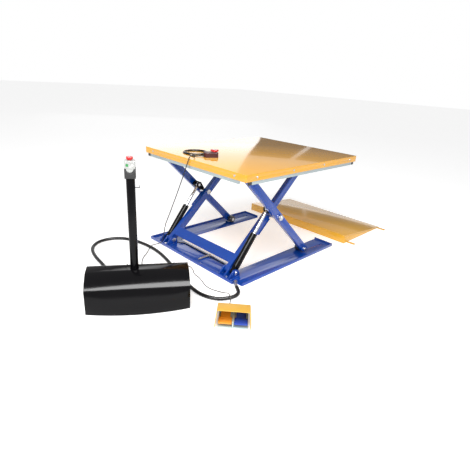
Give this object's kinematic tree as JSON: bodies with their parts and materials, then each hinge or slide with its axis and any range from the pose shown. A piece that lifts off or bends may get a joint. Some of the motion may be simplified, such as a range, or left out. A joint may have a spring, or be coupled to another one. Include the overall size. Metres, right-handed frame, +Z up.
{
  "type": "scissor lift table",
  "caption": "Low profile scissor lift table raised on twin cylinders, with side power pack, control post, foot switch, platform handset and loading ramp.",
  "frame": {"origin": "on the floor under the centre of the four floor anchor holes in the base frame", "axes": "+X along the platform from the fixed hinges towards the ramp, +Y across towards the left side, +Z up"},
  "size_m": [3.1616, 1.787, 0.974],
  "materials": {
    "blue_paint": "gloss",
    "yellow_paint": "gloss",
    "ramp_paint": "gloss",
    "black_paint": "gloss",
    "grey_paint": "satin",
    "bar_aluminium": "satin",
    "steel": "satin",
    "roller_steel": "satin",
    "chrome_rod": "mirror",
    "black_plastic": "matt",
    "black_rubber": "matt",
    "black_cable": "satin",
    "grey_cable": "satin",
    "box_grey": "satin",
    "stop_red": "gloss",
    "handset_red": "satin",
    "key_green": "satin",
    "key_white": "satin",
    "guard_yellow": "satin",
    "treadle_orange": "satin",
    "treadle_blue": "satin",
    "base_grey": "satin",
    "tank_plastic": "matt",
    "brass_fitting": "satin",
    "cast_block": "matt",
    "motor_grey": "satin"
  },
  "bodies": {
    "base": {"base_frame": "blue_paint", "hinge_lugs": "blue_paint", "base_pins": "steel", "hydraulic_pipes": "black_paint", "pipe_tee": "cast_block", "flow_valve": "steel", "hose_union": "steel", "pack_tray": "black_paint", "pack_hood": "black_paint", "pack_glands": "black_plastic", "oil_tank": "tank_plastic", "filler_cap": "black_plastic", "valve_block": "cast_block", "lowering_solenoid": "black_plastic", "pump_motor": "motor_grey", "electrics_box": "box_grey", "control_post": "black_paint", "post_holder": "black_plastic", "control_box": "box_grey", "control_cable": "black_cable", "pedal_base": "base_grey", "pedal_guard": "guard_yellow", "ramp_deck": "ramp_paint", "ramp_frame": "ramp_paint", "main_hose": "black_cable", "pedal_cable": "grey_cable", "pendant_cable_floor": "black_cable", "pendant_cable_drop": "black_cable"},
    "inner_arms": {"inner_frame": "blue_paint", "guide_channels": "blue_paint", "centre_pins": "steel", "top_axle": "steel"},
    "outer_arms": {"outer_arm_left": "blue_paint", "outer_arm_right": "blue_paint", "rod_brackets": "black_paint", "rod_pins": "steel", "bottom_axles": "steel"},
    "platform": {"deck": "yellow_paint", "top_lugs": "yellow_paint", "top_pins": "steel", "bar_bolts": "steel", "handset": "handset_red", "pendant_cable_coil": "black_cable", "pendant_cable_leads": "black_cable"},
    "edge_bar": {"safety_bar": "bar_aluminium", "bar_ends": "black_plastic"},
    "barrel_left": {"barrel_left": "black_paint"},
    "barrel_right": {"barrel_right": "black_paint"},
    "rod_left": {"rod_left": "chrome_rod"},
    "rod_right": {"rod_right": "chrome_rod"},
    "top_roller_left": {"top_roller_left": "roller_steel"},
    "top_roller_right": {"top_roller_right": "roller_steel"},
    "bottom_roller_left": {"bottom_roller_left": "roller_steel"},
    "bottom_roller_right": {"bottom_roller_right": "roller_steel"},
    "control_stop": {"control_stop": "stop_red"},
    "raise_key": {"raise_key": "key_green"},
    "lower_key": {"lower_key": "key_white"},
    "handset_stop": {"handset_stop": "stop_red"},
    "raise_treadle": {"raise_treadle": "treadle_orange"},
    "lower_treadle": {"lower_treadle": "treadle_blue"}
  },
  "joints": [
    {"name": "lift", "type": "hinge", "parent": "base", "child": "inner_arms", "pos_m": [-0.545, 0, 0.043], "axis": [0, -1, 0], "range_deg": [-42.99, 0], "deforming": ["pendant_cable_drop"]},
    {"name": "cross", "type": "hinge", "parent": "inner_arms", "child": "outer_arms", "pos_m": [-0.13241, 0, 0.429], "axis": [0, -1, 0], "range_deg": [0, 86]},
    {"name": "level", "type": "hinge", "parent": "outer_arms", "child": "platform", "pos_m": [-0.545, 0, 0.815], "axis": [0, -1, 0], "range_deg": [-43, 0]},
    {"name": "safety_bar_float", "type": "slide", "parent": "platform", "child": "edge_bar", "axis": [0, 0, 1], "range_m": [0, 0.008], "stiffness_N_per_m": 3000, "springref_m": -0.01},
    {"name": "cylinder_left_swing", "type": "hinge", "parent": "base", "child": "barrel_left", "pos_m": [-0.545, 0.433, 0.043], "axis": [0, -1, 0], "range_deg": [-52.4, 0]},
    {"name": "cylinder_left_stroke", "type": "slide", "parent": "barrel_left", "child": "rod_left", "axis": [0.6057, 0, 0.7957], "range_m": [-0.1202, 0]},
    {"name": "cylinder_right_swing", "type": "hinge", "parent": "base", "child": "barrel_right", "pos_m": [-0.545, -0.433, 0.043], "axis": [0, -1, 0], "range_deg": [-52.4, 0]},
    {"name": "cylinder_right_stroke", "type": "slide", "parent": "barrel_right", "child": "rod_right", "axis": [0.6057, 0, 0.7957], "range_m": [-0.1202, 0]},
    {"name": "top_roller_left_spin", "type": "hinge", "parent": "inner_arms", "child": "top_roller_left", "pos_m": [0.28018, 0.43, 0.815], "axis": [0, -1, 0], "continuous": true},
    {"name": "bottom_roller_left_spin", "type": "hinge", "parent": "outer_arms", "child": "bottom_roller_left", "pos_m": [0.28018, 0.46, 0.043], "axis": [0, -1, 0], "continuous": true},
    {"name": "top_roller_right_spin", "type": "hinge", "parent": "inner_arms", "child": "top_roller_right", "pos_m": [0.28018, -0.43, 0.815], "axis": [0, -1, 0], "continuous": true},
    {"name": "bottom_roller_right_spin", "type": "hinge", "parent": "outer_arms", "child": "bottom_roller_right", "pos_m": [0.28018, -0.46, 0.043], "axis": [0, -1, 0], "continuous": true},
    {"name": "control_stop_press", "type": "slide", "parent": "base", "child": "control_stop", "axis": [0, 0, -1], "range_m": [0, 0.004], "stiffness_N_per_m": 900, "springref_m": -0.003},
    {"name": "handset_stop_press", "type": "slide", "parent": "platform", "child": "handset_stop", "axis": [0, 0, -1], "range_m": [0, 0.004], "stiffness_N_per_m": 900, "springref_m": -0.003},
    {"name": "raise_key_press", "type": "slide", "parent": "base", "child": "raise_key", "axis": [0.5358, 0.8443, 0], "range_m": [0, 0.0025], "stiffness_N_per_m": 900, "springref_m": -0.002},
    {"name": "lower_key_press", "type": "slide", "parent": "base", "child": "lower_key", "axis": [0.5358, 0.8443, 0], "range_m": [0, 0.0025], "stiffness_N_per_m": 900, "springref_m": -0.002},
    {"name": "raise_treadle_press", "type": "hinge", "parent": "base", "child": "raise_treadle", "pos_m": [-0.93288, -0.7683, 0.033], "axis": [0.6833, -0.7302, 0], "range_deg": [0, 6], "stiffness_Nm_per_rad": 12, "springref_deg": -5.73},
    {"name": "lower_treadle_press", "type": "hinge", "parent": "base", "child": "lower_treadle", "pos_m": [-0.86455, -0.84132, 0.033], "axis": [0.6833, -0.7302, 0], "range_deg": [0, 6], "stiffness_Nm_per_rad": 12, "springref_deg": -5.73}
  ],
  "couplings": [
    {"joint": "cross", "follows": "lift", "ratio": -2},
    {"joint": "level", "follows": "lift", "ratio": 1},
    {"joint": "cylinder_left_swing", "follows": "lift", "ratio": 1.2174},
    {"joint": "cylinder_right_swing", "follows": "lift", "ratio": 1.2174},
    {"joint": "cylinder_left_stroke", "follows": "lift", "m_per_rad": 0.16},
    {"joint": "cylinder_right_stroke", "follows": "lift", "m_per_rad": 0.16}
  ]
}
